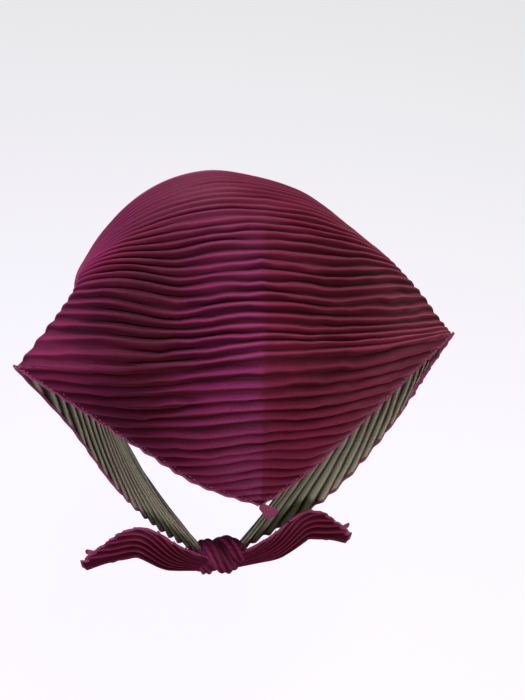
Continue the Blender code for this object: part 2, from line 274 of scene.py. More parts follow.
# How the pleats wander, as shares of a pleat and of their depth, and the painted light and shade on
# them
pleatWander = {
    # soft noise: size, pace per pleat, cm of a wave along the pleat, where both start, seed
    "longDrift": (0.17, 0.8, 3.0, 31, 40, 7),
    "shortDrift": (0.10, 1.3, 0.95, 11, 60, 8),
    "creaseJog": (0.10, 0.9, 1.0, 0, 3.5, 9),
    "depthChange": (0.30, 1.1, 2.6, 5, 20, 10),
    "jogFade": 2.5,             # cm from the crease
    "calmAtRidge": 0.62,        # share of the depth that is pulled flat where the cloth turns
    "calmWidth": 1.7,           # cm
    "calmAtHem": 0.50,          # and where the rolled hem holds it straight
    "hemWidth": 0.8,
    "hemPleats": 8,             # pleats past the corner up to which it does
    "calmPitch": (0.12, 0.3),   # cm between pleats at which they start to wander, and do so fully
    "calmEnds": 1.2,            # pleats at the tip and at the front edge that stay straight
    "roundness": 0.91,          # nearer 1 is a sharper fold
    "lean": 0.10,               # above 0 the lower face is the narrower one, below 0 the upper one
    "leanPasses": 40,
    "slump": 0.03,              # share of the pitch that a crest sinks towards the next one down
    "crownCalm": (0.64, 19.0, 38.0),  # share of it gone on the crown, from and to which pleats
    "crownReach": 4.0,          # cm past the ridge at which the crown's calm ends
    "paintedShadeSteps": (0.02, 0.48, 0.78),  # painted shade, in pleats: crest's end, valley, next crest's start
    "closedPitch": (0.10, 0.62),  # cm between pleats at which only crests show, and all does
    "leastTone": 0.62,          # what of the painted fold shade shows on nearly flat cloth
    "mostTone": 1.3,            # and where the folds are deepest
    "fullTone": 0.37,           # depth in cm from which the folds' painted shade shows fully
    "paintedCrestLine": 0.20,          # extra lightness of the thin painted highlight along a crest
    "paintedCrestLineFrom": 0.95,      # height of the fold's wave at which that line starts
    "crownPaintedLight": -0.18,        # painted light on the crown's flat cloth, below 0 painted shade
    "closedPaintedLight": 0.85,        # extra painted highlight where the pleats lie shut
    "halfPaintedLight": 0.13,           # painted light left of the crease and painted shade right of it
    "halfPaintedLightWidth": 4.5,       # cm
    "paintedPurpleWidth": 3.3,         # cm left of the crease in which the cloth gets painted purple light
    "creaseFades": (23.0, 33.0),  # pleats between which both fade out on the crown
    # slack cloth folds deeper, hangs over and takes painted shade: side, cm from the crease, half
    # width, first and last pleat, gain in depth, change of the lean and of the slump
    "slack": (
        (1, 6.7, 3.0, 2.0, 37.0, 0.45, -0.93, 0.08),
        (1, 8.2, 3.4, -5.0, 19.0, 0.25, -0.20, 0.02),
        (-1, 4.8, 2.4, 8.0, 34.0, 0.20, -0.43, 0.02),
    ),
    "slackRound": 1.2,          # power of the sine that brings it in and out again
    "fullSlack": 0.45,          # gain in depth at which the next two hold in full
    "slackTone": 1.8,           # how much thinner the painted highlight line on a slack fold is
    "slackShade": 0.86,         # and how much painted shade darkens it
}


def unleaned(phase, lean):
    # where the phase, run late by the lean times one minus the cosine, comes to the one asked for:
    # put back into itself until it stands still
    at = phase + 0.0
    for _ in range(pleatWander["leanPasses"]):
        at = 0.5 * at + 0.5 * (phase + lean * (1 - np.cos(math.tau * at)) / math.tau)
    return at


def readAt(field, row):
    # a grid's value between its rows, by straight interpolation down each column
    low = np.clip(np.floor(row).astype(int), 0, len(field) - 2)
    part = np.clip(row - low, 0.0, 1.0)
    column = np.arange(field.shape[1])[None, :]
    if field.ndim == 3:
        part = part[..., None]
    return field[low, column] * (1 - part) + field[low + 1, column] * part


def pleatWave(phase):
    # arc sine of k times the cosine, over arc sine of k: a triangle wave with rounded folds
    k = pleatWander["roundness"]
    return np.arcsin(k * np.cos(math.tau * phase)) / math.asin(k)


def paintedFoldShade(phase):
    # painted shade: 1 on the crest, a smooth step down to 0 in the valley and another one up to the
    # next crest
    crestEnd, valley, nextCrest = pleatWander["paintedShadeSteps"]
    f = phase - np.floor(phase)
    return 1 - smoothStep(crestEnd, valley, f) + smoothStep(nextCrest, 1.0, f)


def foldDepth(pitch, deepest):
    # the third side of a right triangle on the pitch, with one pleat's flat cloth as its longest
    # side: half of it, up to the deepest
    squared = np.clip(scarf["flatPleat"]**2 - pitch**2, scarf["leastFold"], None)
    return np.minimum(np.sqrt(squared) / 2, deepest)


def slackened(n, fromCrease, side):
    # each slack place is a bell across the cloth times a rounded sine down it, and adds its share
    # to the depth's gain, the lean, the slump, how thin the painted highlight line is and how much
    # painted shade falls on it
    w = pleatWander
    deeper, lean, slump, thin, shade = 1.0, w["lean"], w["slump"], 1.0, 1.0
    for slackSide, middle, halfWidth, first, last, gain, leanChange, slumpChange in w["slack"]:
        bell = np.exp(-(((fromCrease - middle) / halfWidth) ** 2)) * (side == slackSide)
        down = np.clip((n - first) / (last - first), 0.0, 1.0)
        bell = bell * np.sin(math.pi * down) ** w["slackRound"]
        deeper = deeper * (1 + gain * bell)
        lean, slump = lean + leanChange * bell, slump + slumpChange * bell
        thin = thin + w["slackTone"] * gain / w["fullSlack"] * bell
        shade = shade - w["slackShade"] * gain / w["fullSlack"] * bell
    return deeper, lean, slump, thin, shade


def pleated(grid, pleat, fromCrease, side, normals, ridgeAt):
    # each row put where its own share of a pleat comes, then moved along the smooth form's normal
    # by half the fold's depth times the pleat wave, so that crests and valleys lie on rows, and
    # down the cloth by the slump; bells round the ridge and the hem take their share of the depth.
    # The tone is painted light and shade: the painted fold shade, as far as the depth lets it
    # show, times the painted shade and light of slack folds, the crown, shut pleats and the
    # crease's two halves, plus a painted highlight along each crest.
    w = pleatWander
    n = pleat[:, None] + np.zeros_like(fromCrease)
    s = fromCrease * np.where(side > 0, 1.0, -1.0)
    way = unit(np.gradient(grid, axis=1))
    apart = np.gradient(grid, axis=0) / np.gradient(pleat)[:, None, None]
    apart -= way * (apart * way).sum(axis=2, keepdims=True)
    pitch = np.linalg.norm(apart, axis=2)

    drift = wander(w["longDrift"], n, s) + wander(w["shortDrift"], n, s)
    jog = wander(w["creaseJog"], n, 0 * s)
    drift += jog * np.where(side > 0, 0.0, 1.0) * np.exp(-fromCrease / w["jogFade"])

    deeper, lean, slump, thin, shade = slackened(n, fromCrease, side)
    gone, calmFrom, calmTo = w["crownCalm"]
    onCrown = 1 - smoothStep(0.0, w["crownReach"], fromCrease - ridgeAt)
    onCrown = onCrown * smoothStep(calmFrom, calmTo, n)
    depth = foldDepth(pitch, scarf["deepest"]) * (1 + wander(w["depthChange"], n, s))
    depth *= deeper * (1 - gone * onCrown)

    calm = smoothStep(*w["calmPitch"], pitch)
    fromFront = scarf["pleats"] - n
    inside = smoothStep(0.0, w["calmEnds"], n) * smoothStep(0.0, w["calmEnds"], fromFront)
    opened = smoothStep(*w["closedPitch"], pitch)
    # painted light and shade: crown, shut pleats, lighter left and darker right of the crease
    halfLit = w["halfPaintedLight"] * (1 - smoothStep(*w["creaseFades"], n)) * side
    shade = shade + w["crownPaintedLight"] * onCrown + w["closedPaintedLight"] * (1 - opened)
    shade = shade * (1 + halfLit * np.exp(-fromCrease / w["halfPaintedLightWidth"]))
    leastTone = w["leastTone"] * (1 - onCrown)
    fullness = np.clip(depth / w["fullTone"], leastTone, w["mostTone"]) * opened

    held = 1 - w["calmAtRidge"] * np.exp(-(((fromCrease - ridgeAt) / w["calmWidth"]) ** 2))
    fromHem = np.where(side > 0, fromCrease[:, -1:], fromCrease[:, :1]) - fromCrease
    hemmed = n < scarf["cornerPleat"] + w["hemPleats"]
    held *= 1 - w["calmAtHem"] * np.exp(-((fromHem / w["hemWidth"]) ** 2)) * hemmed
    row = unleaned(n, lean * inside) - drift * calm * inside - pleat[0]
    row *= scarf["rowsPerPleat"]
    wave = pleatWave(n)
    # painted fold shade, darkened by the painted shade of slack folds, and a painted highlight on
    # crests
    tone = np.clip(1 - (1 - paintedFoldShade(n)**thin) * fullness, 0.0, 1.0) * shade
    paintedCrestLine = w["paintedCrestLine"] * np.minimum(fullness, 1.0)
    tone = tone + paintedCrestLine * smoothStep(w["paintedCrestLineFrom"], 1.0, wave)
    out = readAt(normals, row) * (depth * held * wave / 2)[..., None]
    down = readAt(apart, row) * (slump * calm * wave)[..., None]
    return readAt(grid, row) + out - down, tone


def makeMesh(name, points, faces):
    # points as they come, and faces as lists of their numbers
    mesh = bpy.data.meshes.new(name)
    mesh.from_pydata(points.tolist(), [], faces)
    mesh.update()
    mesh.shade_smooth()
    piece = bpy.data.objects.new(name, mesh)
    bpy.context.scene.collection.objects.link(piece)
    return piece


def setPointValues(piece, name, values):
    # one number for each point, for the materials to read
    held = piece.data.attributes.new(name, "FLOAT", "POINT")
    held.data.foreach_set("value", values.ravel().astype(np.float32))


def setUv(piece, uv):
    # one UV map, each corner with its point's own place on the flat cloth, in metres
    mesh = piece.data
    corner = np.empty(len(mesh.loops), dtype=np.int32)
    mesh.loops.foreach_get("vertex_index", corner)
    places = uv.reshape(-1, 2)[corner].astype(np.float32)
    mesh.uv_layers.new(name="flatCloth").data.foreach_set("uv", places.ravel())


def walled(grid, normals, wall):
    # the grid half a wall out and then half a wall in, from cm about the dome's middle to metres
    sides = [(grid + normals * wall / 2).reshape(-1, 3), (grid - normals * wall / 2).reshape(-1, 3)]
    return np.concatenate(sides) * cm + domeMiddle


def shellFaces(rows, columns):
    # quads of an outer grid, of an inner one wound the other way, and of the strips between rims
    index = np.arange(rows * columns).reshape(rows, columns)
    outer = np.stack([index[:-1, :-1], index[1:, :-1], index[1:, 1:], index[:-1, 1:]], axis=-1)
    outer = outer.reshape(-1, 4)
    inner = outer[:, ::-1] + rows * columns
    rim = np.concatenate([index[0, :], index[1:, -1], index[-1, -2::-1], index[-2:0:-1, 0]])
    ahead = np.roll(rim, -1)
    strip = np.stack([rim, ahead, ahead + rows * columns, rim + rows * columns], axis=-1)
    return np.concatenate([outer, inner, strip]).tolist()


def makeShell(name, grid, normals, crest, backSheenAndShade, uv):
    # a closed wall of cloth on the grid, with each side's own painted light and shade
    points = walled(grid, normals, scarf["wall"])
    piece = makeMesh(name, points, shellFaces(*grid.shape[:2]))
    setPointValues(piece, "foldShade", np.concatenate([crest.ravel(), backSheenAndShade.ravel()]))
    setPointValues(piece, "wrongSide", np.repeat([0.0, 1.0], crest.size))
    setUv(piece, np.concatenate([uv.reshape(-1, 2), uv.reshape(-1, 2)]))
    return piece


def tube(path, lean, radius, sides):
    # a round profile carried along the path: each ring is the centre plus radius times cosine of
    # the leaning direction plus radius times sine of the direction square to it and to the path;
    # the radius is one number, one for each ring in a column, or one for each point
    way = unit(np.gradient(path, axis=0))
    first = unit(lean - way * (lean * way).sum(axis=1, keepdims=True))
    second = np.cross(way, first)
    turn = np.linspace(0.0, math.tau, sides, endpoint=False)[None, :, None]
    ring = first[:, None] * np.cos(turn) + second[:, None] * np.sin(turn)
    return path[:, None] + ring * np.broadcast_to(radius, (len(path), sides))[..., None]


def tubeFaces(rings, sides, start):
    # quads between neighbouring rings, and one flat cap at each end
    index = np.arange(rings * sides).reshape(rings, sides) + start
    ahead = np.roll(index, -1, axis=1)
    quads = np.stack([index[:-1], ahead[:-1], ahead[1:], index[1:]], axis=-1).reshape(-1, 4)
    return quads.tolist() + [index[0, ::-1].tolist(), index[-1].tolist()]


def makeTubes(name, tubes):
    # several closed tubes as one mesh, each one's points numbered on from the last one's
    faces, start = [], 0
    for rings in tubes:
        faces += tubeFaces(*rings.shape[:2], start)
        start += rings.shape[0] * rings.shape[1]
    points = np.concatenate([rings.reshape(-1, 3) for rings in tubes])
    return makeMesh(name, points * cm + domeMiddle, faces)


# The cloth from tip to front edge, one smooth form for all that sits on it
pleatRow = np.arange(scarf["firstRow"], scarf["pleats"] + 1e-6, 1 / scarf["rowsPerPleat"])
rightHalf, rightRidge = clothRows(-1, pleatRow, scarf["columns"] + 1)
leftHalf, leftRidge = clothRows(1, pleatRow, scarf["columns"] + 1)
smoothForm = np.concatenate([rightHalf[:, :0:-1], leftHalf], axis=1)
fromCrease = np.concatenate([runLength(rightHalf)[:, :0:-1], runLength(leftHalf)], axis=1)
sideOf = np.where(np.arange(smoothForm.shape[1]) < scarf["columns"], -1, 1)[None, :]
ridgeAt = np.where(sideOf < 0, rightRidge, leftRidge)
nearCrease = np.exp(-((fromCrease / scarf["creaseReach"]) ** 2))[:, 1:-1, None]
for _ in range(scarf["creaseSoftening"]):
    smoothForm[:, 1:-1] += nearCrease * rounding(smoothForm)
smoothNormals = normalsOf(smoothForm)
creaseGone, goneFrom, goneTo = scarf["creaseLow"]
ridgeUp = scarf["creaseRidge"] * np.exp(-fromCrease / scarf["creaseWidth"])
ridgeUp *= smoothStep(0.0, scarf["creaseStart"], pleatRow)[:, None]
ridgeUp *= 1 - creaseGone * smoothStep(goneFrom, goneTo, pleatRow)[:, None]
cloth, paintedFoldShades = pleated(smoothForm, pleatRow, fromCrease, sideOf, smoothNormals, ridgeAt)
cloth = cloth + smoothNormals * ridgeUp[..., None]
pulledFlat = (pleatRow * scarf["flatPleat"])[:, None] + 0 * fromCrease
clothUv = np.stack([fromCrease * sideOf, pulledFlat], axis=-1) * cm
# painted sheen on the wrong side's crests and painted shade in its valleys
backSheenTones = ((1 - paintedFoldShade(pleatRow))**2)[:, None] + 0 * fromCrease
kerchief = makeShell("kerchief_cloth", cloth, normalsOf(cloth), paintedFoldShades, backSheenTones, clothUv)
# painted purple light in the strip left of the crease, fading out on the crown
paintedPurpleLight = np.exp(-((fromCrease / pleatWander["paintedPurpleWidth"]) ** 2)) * (sideOf > 0)
paintedPurpleLight *= (1 - smoothStep(*pleatWander["creaseFades"], pleatRow))[:, None]
setPointValues(kerchief, "paintedPurpleLight", np.concatenate([paintedPurpleLight, 0 * paintedPurpleLight]))
print("pleated cloth made:", len(kerchief.data.polygons), "faces")

# Rolled hem on all three edges, and its stitches
hem = {
    "radius": 0.085,            # cm
    "sides": 8,
    "tieShare": 0.9,            # how thick the tie ends' hem is beside it
    "stitchIn": 0.42,           # cm from the edge, along the pleat
    "stitchRadius": 0.020,
    "stitchSides": 6,
    "stitchRings": (0.35, 1.0, 1.0, 0.35),  # shares of the radius from end to end
    "stitchProud": 0.4,         # share of the radius that its middle stands above the cloth
    "stitchRows": 2,            # rows from one stitch to the next
    "stitchFirst": 6,           # row
    "stitchClear": 0.3,         # cm from the crease, and nearer to it there are none
}

hemPaths = [(cloth[:, 0], smoothNormals[:, 0]), (cloth[:, -1], smoothNormals[:, -1]),
            (cloth[-1], smoothNormals[-1])]
rolledHem = makeTubes("rolled_hem", [tube(path, lean, hem["radius"], hem["sides"])
                                     for path, lean in hemPaths])


def stitchTubes(grid, normals, along, rows):
    # one short capsule for each pair of rows, at the inset from the row's end: a straight path
    # between the two rows' nearest columns, raised above the cloth's wall
    place = along.max(axis=1) - hem["stitchIn"]
    rows = rows[place[rows] > hem["stitchClear"]]
    raised = scarf["wall"] / 2 + hem["stitchRadius"] * hem["stitchProud"]
    radius = hem["stitchRadius"] * np.array(hem["stitchRings"])[:, None]
    share = np.linspace(0, 1, len(radius))[:, None]

    def at(row):
        # the first column past the place, and the cloth's normal there
        k = np.array([np.searchsorted(along[r], place[r]) for r in row])
        return grid[row, k] + normals[row, k] * raised, normals[row, k]

    (starts, leans), (ends, _) = at(rows), at(rows + 1)
    return [tube(start + (end - start) * share, np.tile(lean, (len(radius), 1)), radius,
                 hem["stitchSides"]) for start, end, lean in zip(starts, ends, leans)]


stitchRow = np.arange(hem["stitchFirst"], len(pleatRow) - 2, hem["stitchRows"])
stitches = []
for columns in (slice(scarf["columns"], None), slice(scarf["columns"], None, -1)):
    stitches += stitchTubes(cloth[:, columns], smoothNormals[:, columns], fromCrease[:, columns],
                            stitchRow)
hemStitches = makeTubes("hem_stitches", stitches)
print("hem made:", len(stitches), "stitches")

# Corner past the knot, on each side
tie = {
    "pleats": 10,
    "firstRow": 0.25,           # pleats
    "rowsPerPleat": 8,
    "columns": 56,
    # middle line from the knot outwards, left as worn, cm from the middle of the dome
    "line": ((1.30, 6.35, -13.35), (3.85, 7.00, -11.75), (5.80, 6.60, -10.60),
             (7.55, 6.10, -11.70), (9.10, 5.50, -13.20)),
    # share of the line, width in cm
    "width": ((0.0, 0.8), (0.12, 1.25), (0.25, 1.8), (0.52, 2.15), (0.86, 1.05), (1.0, 0.72)),
    "ahead": 0.01,              # share of the line on each side that gives its direction
    "face": (0.15, 1.0, 0.12),  # which way its broad side looks
    "deepest": 0.29,
    "scallop": 0.022,           # share of the line that the hem swings with each pleat
    "leastPleats": 0.25,        # pleats left at the very corner
    # soft noise as in pleatWander, with the side added to the seed
    "depthChange": (0.25, 1.2, 2.5, 0, 9, 40),
    "drift": (0.10, 1.0, 1.8, 0, 3, 20),
    "mirrorX": 0.80,            # the knot's middle
}


def makeTieEnd(name, side):
    # row k ends where its pleat meets the slanting hem, at k over the pleats of the tie's length;
    # rows spread across the width of what is left there, from the long edge up, and are then folded
    # along the normal as the large cloth is
    count = np.arange(tie["firstRow"], tie["pleats"] + 1e-6, 1 / tie["rowsPerPleat"])[:, None]
    share = np.linspace(0.0, 1.0, tie["columns"])[None, :]
    scallop = tie["scallop"] * np.cos(math.tau * count) * share**4
    share = np.clip(share * (count / tie["pleats"]) + scallop, 0.0, 1.0)
    at = np.linspace(0.0, 1.0, len(tie["line"]))

    def line(where):
        # the curve through the middle line's points, read at a whole grid of places
        read = through(at, tie["line"], np.clip(where, 0.0, 1.0).reshape(-1))
        return read.reshape(*where.shape, 3)

    upward = unit(np.cross(line(share + tie["ahead"]) - line(share - tie["ahead"]), tie["face"]))
    upward *= np.sign(upward[..., 2:])
    left = np.maximum(tie["pleats"] - share * tie["pleats"], tie["leastPleats"])
    across = np.clip((tie["pleats"] - count) / left, 0.0, 1.0) - 0.5
    grid = line(share) + upward * (np.interp(share, *np.array(tie["width"]).T) * across)[..., None]
    if side < 0:
        grid[..., 0] = 2 * tie["mirrorX"] - grid[..., 0]
    normals = normalsOf(grid) * -side
    fromKnot = runLength(grid)
    n = count + 0 * share
    apart = np.linalg.norm(np.gradient(grid, axis=0), axis=2) * tie["rowsPerPleat"]
    depth = foldDepth(apart, tie["deepest"]) * (1 + wander(tie["depthChange"], n, fromKnot, side))
    phase = n + wander(tie["drift"], n, fromKnot, side)
    grid = grid + normals * (depth * pleatWave(phase) / 2)[..., None]
    # painted shade: lighter on the crests, darker in the valleys
    crest = paintedFoldShade(phase)
    if side > 0:
        grid, normals, crest, fromKnot = (v[::-1] for v in (grid, normals, crest, fromKnot))
    uv = np.stack([fromKnot, n * scarf["flatPleat"]], axis=-1) * cm
    return makeShell(name, grid, normals, crest, 1 - crest, uv), grid, normals


tieLeft, leftGrid, leftNormals = makeTieEnd("tie_left_cloth", 1)
tieRight, rightGrid, rightNormals = makeTieEnd("tie_right_cloth", -1)
tieHem = makeTubes("tie_hem", [
    tube(grid[:, -1], normals[:, -1], hem["radius"] * hem["tieShare"], hem["sides"])
    for grid, normals in ((leftGrid, leftNormals), (rightGrid, rightNormals))])
print("tie ends made")

# The half knot: two gathered ends turned round each other
knot = {
    "centre": (0.80, 5.95, -13.00),
    "halfLength": 1.35,
    "apart": 0.50,              # cm from the knot's axis to each strand's own
    "closing": 0.35,            # share by which the strands come together at its ends
    "tall": 1.08,               # how much taller it is than deep
    "strand": 0.60,             # radius of a strand
    "leastEnd": 0.02,           # squared share of the radius that is left at a strand's end
    "turns": 1.0,
    "ribs": 9,
    "ribDepth": 0.11,
    "ribSwing": (0.4, 3),       # share of a rib that they swing to and fro, and how fast
    "rings": 90,
    "sides": 90,
}


def knotStrand(phase):
    # a helix about the X axis, tapered to both ends, whose round profile has ribs that turn with
    # it: radius times one plus the rib depth times the pleat wave round the ring
    t = np.linspace(-1.0, 1.0, knot["rings"])
    angle = phase + math.pi * knot["turns"] * t
    apart = knot["apart"] * (1 - knot["closing"] * t**4)
    path = np.stack([knot["halfLength"] * t, apart * np.cos(angle),
                     apart * np.sin(angle) * knot["tall"]], axis=-1) + knot["centre"]
    lean = np.stack([np.zeros_like(t), np.cos(angle), np.sin(angle)], axis=-1)
    around = np.linspace(0.0, 1.0, knot["sides"], endpoint=False)[None, :]
    swing, pace = knot["ribSwing"]
    rib = pleatWave(knot["ribs"] * around + swing * np.sin(pace * t)[:, None])
    radius = knot["strand"] * np.sqrt(np.clip(1 - t**6, knot["leastEnd"], None))[:, None]
    return tube(path, lean, radius * (1 + knot["ribDepth"] * rib), knot["sides"])


knotPiece = makeTubes("knot_cloth", [knotStrand(0.0), knotStrand(math.pi)])
# painted shade between the knot's ribs, painted light on them
ribShade = pleatWave(knot["ribs"] * np.linspace(0, 1, knot["sides"], endpoint=False)) * 0.5 + 0.5
setPointValues(knotPiece, "foldShade", np.tile(ribShade, 2 * knot["rings"]))
print("knot made")

# Small tabs where the hem's corners are turned
tab = {
    # cm along the tab, half width
    "outline": ((0.0, 0.10), (0.14, 0.20), (0.38, 0.24), (0.80, 0.36), (1.02, 0.33), (1.12, 0.10)),
    "thick": 0.10,
    "leastThick": 0.05,         # squared share of the thickness that is left at its sides
    "curl": (0.05, 5),          # cm that it waves, and how fast along it
    "columns": 13,
    "rows": 25,
    "tipWay": ((-0.66, -0.05, -0.75), (0.72, 0.0, -0.69)),  # out of the tip, and across
    "tipSize": 1.2,
    "tieSize": 0.6,
    "tieIn": 5,                 # its root is one in this many rows in from the outermost
}


def makeTab(name, root, way, across, size):
    # the outline's half widths along the way out, swollen across as a flattened ellipse and curled
    # by a sine along it
    lengthAt, halfWidth = np.array(tab["outline"]).T * size
    u = np.linspace(0.0, 1.0, tab["rows"])[:, None]
    v = np.linspace(-1.0, 1.0, tab["columns"])[None, :]
    way, across = unit(np.array(way, float)), unit(np.array(across, float))
    up = np.cross(across, way)
    wide = np.interp(u * lengthAt[-1], lengthAt, halfWidth)
    curl, pace = tab["curl"]
    grid = (np.array(root) + way * (u * lengthAt[-1])[..., None] + across * (wide * v)[..., None]
            + up * (curl * np.sin(pace * u) * (1 - v**2))[..., None])
    thick = tab["thick"] * size * np.sqrt(np.clip(1 - v**2, tab["leastThick"], None)) + 0 * u
    points = walled(grid, np.broadcast_to(up, grid.shape), thick[..., None])
    return makeMesh(name, points, shellFaces(tab["rows"], tab["columns"]))


tipTab = makeTab("tip_tab", scarf["sections"][-1][1], *tab["tipWay"], tab["tipSize"])
tieTabs = []
for name, grid in (("tie_left_tab", leftGrid), ("tie_right_tab", rightGrid)):
    ends = grid[:, -1]
    root = ends[np.argsort(abs(ends[:, 0]))[-len(ends) // tab["tieIn"]]]
    outward = root - grid[len(grid) // 2, tie["columns"] // 2]
    tieTabs.append(makeTab(name, root, outward, np.cross(outward, (0.0, 1.0, 0.0)), tab["tieSize"]))
print("corner tabs made")

# What all the cloth shares, and the colours of each kind: crest and valley; where they differ,
# the crest's is painted light and the valley's painted shade
clothLook = {
    "twill": 0.0016,            # m from one twill line to the next
    "threadTwill": 0.0004,
    "twillBreaks": (750.0, 1.0),  # scale and detail of the noise that breaks the lines
    "bumpStrength": 0.5,
    "bumpDepth": 0.00012,       # m
    "grain": (0.62, 0.70),      # how far the twill changes the lightness, and from what share of it
    "blotch": (0.5, 0.75),      # the same for the soft blotches
    "blotchNoise": (28.0, 3.0),  # scale and detail
    "plainFold": 0.5,           # painted fold shade on cloth that has no folds
    "tonePower": 1.15,          # above 1 the crest's colour draws in
    "roughness": (-0.12, 0.62),  # change from valley to crest, and the valley's own
    "sheen": 0.52,
    "threadSheen": 0.4,
    "sheenRoughness": 0.35,
    "sheenTint": (0.85, 0.42, 0.46),
    "specular": 0.12,
    # crest colour with painted light, valley colour with painted shade
    "pleats": ((0.200, 0.020, 0.047), (0.050, 0.002, 0.007)),
    # wrong side: olive crest colour is a painted reflection of green light, dark valley painted
    # shade
    "wrongSide": ((0.34, 0.40, 0.20), (0.010, 0.009, 0.005)),
    "paintedPurpleLight": (0.98, 0.95, 1.42),  # painted purple light: the colour is multiplied by this
    "hem": ((0.29, 0.062, 0.105), (0.29, 0.062, 0.105)),
    "thread": ((0.42, 0.16, 0.24), (0.42, 0.16, 0.24)),
    # knot: crest colour with painted light, valley colour with painted shade
    "knot": ((0.20, 0.022, 0.055), (0.045, 0.002, 0.008)),
}


def newGroup(name, inputs, outputs):
    # a shader node group with named sockets, and its two ends
    group = bpy.data.node_groups.new(name, "ShaderNodeTree")
    for socket, kind, value in inputs:
        made = group.interface.new_socket(name=socket, in_out="INPUT", socket_type=kind)
        made.default_value = value
    for socket, kind in outputs:
        group.interface.new_socket(name=socket, in_out="OUTPUT", socket_type=kind)
    return group, group.nodes.new("NodeGroupInput"), group.nodes.new("NodeGroupOutput")


def feed(tree, socket, value):
    # a link from another socket, or a number or a colour of its own
    if isinstance(value, bpy.types.NodeSocket):
        tree.links.new(value, socket)
    else:
        socket.default_value = value if isinstance(value, (int, float)) else (*value, 1.0)


def mathNode(tree, operation, *values):
    # one Math node on two or three numbers or sockets
    node = tree.nodes.new("ShaderNodeMath")
    node.operation = operation
    for socket, value in zip(node.inputs, values):
        feed(tree, socket, value)
    return node.outputs[0]


def mixColour(tree, share, a, b, blend="MIX"):
    # a where the share is 0 and b where it is 1, and on past b where it is more
    node = tree.nodes.new("ShaderNodeMix")
    node.data_type = "RGBA"
    node.blend_type = blend
    node.clamp_factor = False
    for socket, value in ((node.inputs["Factor"], share), (node.inputs[6], a), (node.inputs[7], b)):
        feed(tree, socket, value)
    return node.outputs[2]


def attribute(tree, name):
    # the number that the mesh's points hold under this name
    node = tree.nodes.new("ShaderNodeAttribute")
    node.attribute_name = name
    return node.outputs["Fac"]


def noiseNode(tree, place, scale, detail):
    # soft noise at the place, as one number
    node = tree.nodes.new("ShaderNodeTexNoise")
    node.inputs["Scale"].default_value = scale
    node.inputs["Detail"].default_value = detail
    tree.links.new(place, node.inputs["Vector"])
    return node.outputs["Fac"]


def twillGroup():
    # the sine of x plus y over the pitch, times noise: its height for the bump, and the height plus
    # the noise as a lightness mask
    group, given, result = newGroup(
        "twillWeave",
        [("Pitch", "NodeSocketFloat", clothLook["twill"]),
         ("Place", "NodeSocketVector", (0.0, 0.0, 0.0))],
        [("Height", "NodeSocketFloat"), ("Light", "NodeSocketFloat")])
    parts = group.nodes.new("ShaderNodeSeparateXYZ")
    group.links.new(given.outputs["Place"], parts.inputs[0])
    slant = mathNode(group, "ADD", parts.outputs["X"], parts.outputs["Y"])
    turns = mathNode(group, "DIVIDE", slant, given.outputs["Pitch"])
    wave = mathNode(group, "SINE", mathNode(group, "MULTIPLY", turns, math.tau))
    noise = noiseNode(group, given.outputs["Place"], *clothLook["twillBreaks"])
    height = mathNode(group, "MULTIPLY_ADD", mathNode(group, "MULTIPLY", wave, noise), 0.5, 0.5)
    group.links.new(height, result.inputs["Height"])
    light = mathNode(group, "ADD", height, mathNode(group, "SUBTRACT", noise, 0.5))
    group.links.new(light, result.inputs["Light"])
    return group


def clothToneGroup():
    # valley colour to crest colour by a power of the painted fold shade, times the twill's light
    # mask and soft blotches; the roughness falls towards the crest
    group, given, result = newGroup(
        "clothToneAndShade",
        [("Crest", "NodeSocketColor", (*clothLook["pleats"][0], 1.0)),
         ("Valley", "NodeSocketColor", (*clothLook["pleats"][1], 1.0)),
         ("FoldShade", "NodeSocketFloat", clothLook["plainFold"]), ("Light", "NodeSocketFloat", 0.5)],
        [("Color", "NodeSocketColor"), ("Roughness", "NodeSocketFloat")])
    place = group.nodes.new("ShaderNodeTexCoord")
    noise = noiseNode(group, place.outputs["Object"], *clothLook["blotchNoise"])
    high = mathNode(group, "POWER", given.outputs["FoldShade"], clothLook["tonePower"])
    tone = mixColour(group, high, given.outputs["Valley"], given.outputs["Crest"])
    blotch = mathNode(group, "MULTIPLY_ADD", noise, *clothLook["blotch"])
    grain = mathNode(group, "MULTIPLY_ADD", given.outputs["Light"], *clothLook["grain"])
    scale = group.nodes.new("ShaderNodeVectorMath")
    scale.operation = "SCALE"
    group.links.new(tone, scale.inputs[0])
    group.links.new(mathNode(group, "MULTIPLY", blotch, grain), scale.inputs["Scale"])
    group.links.new(scale.outputs[0], result.inputs["Color"])
    rough = mathNode(group, "MULTIPLY_ADD", high, *clothLook["roughness"])
    group.links.new(rough, result.inputs["Roughness"])
    return group


twill = twillGroup()
clothToneAndShade = clothToneGroup()


def toneNode(tree, colours, foldShade, light):
    # the cloth's colour from its crest and valley colours, with the painted fold shade between them
    node = tree.nodes.new("ShaderNodeGroup")
    node.node_tree = clothToneAndShade
    feed(tree, node.inputs["Crest"], colours[0])
    feed(tree, node.inputs["Valley"], colours[1])
    if foldShade:
        tree.links.new(attribute(tree, foldShade), node.inputs["FoldShade"])
    tree.links.new(light, node.inputs["Light"])
    return node


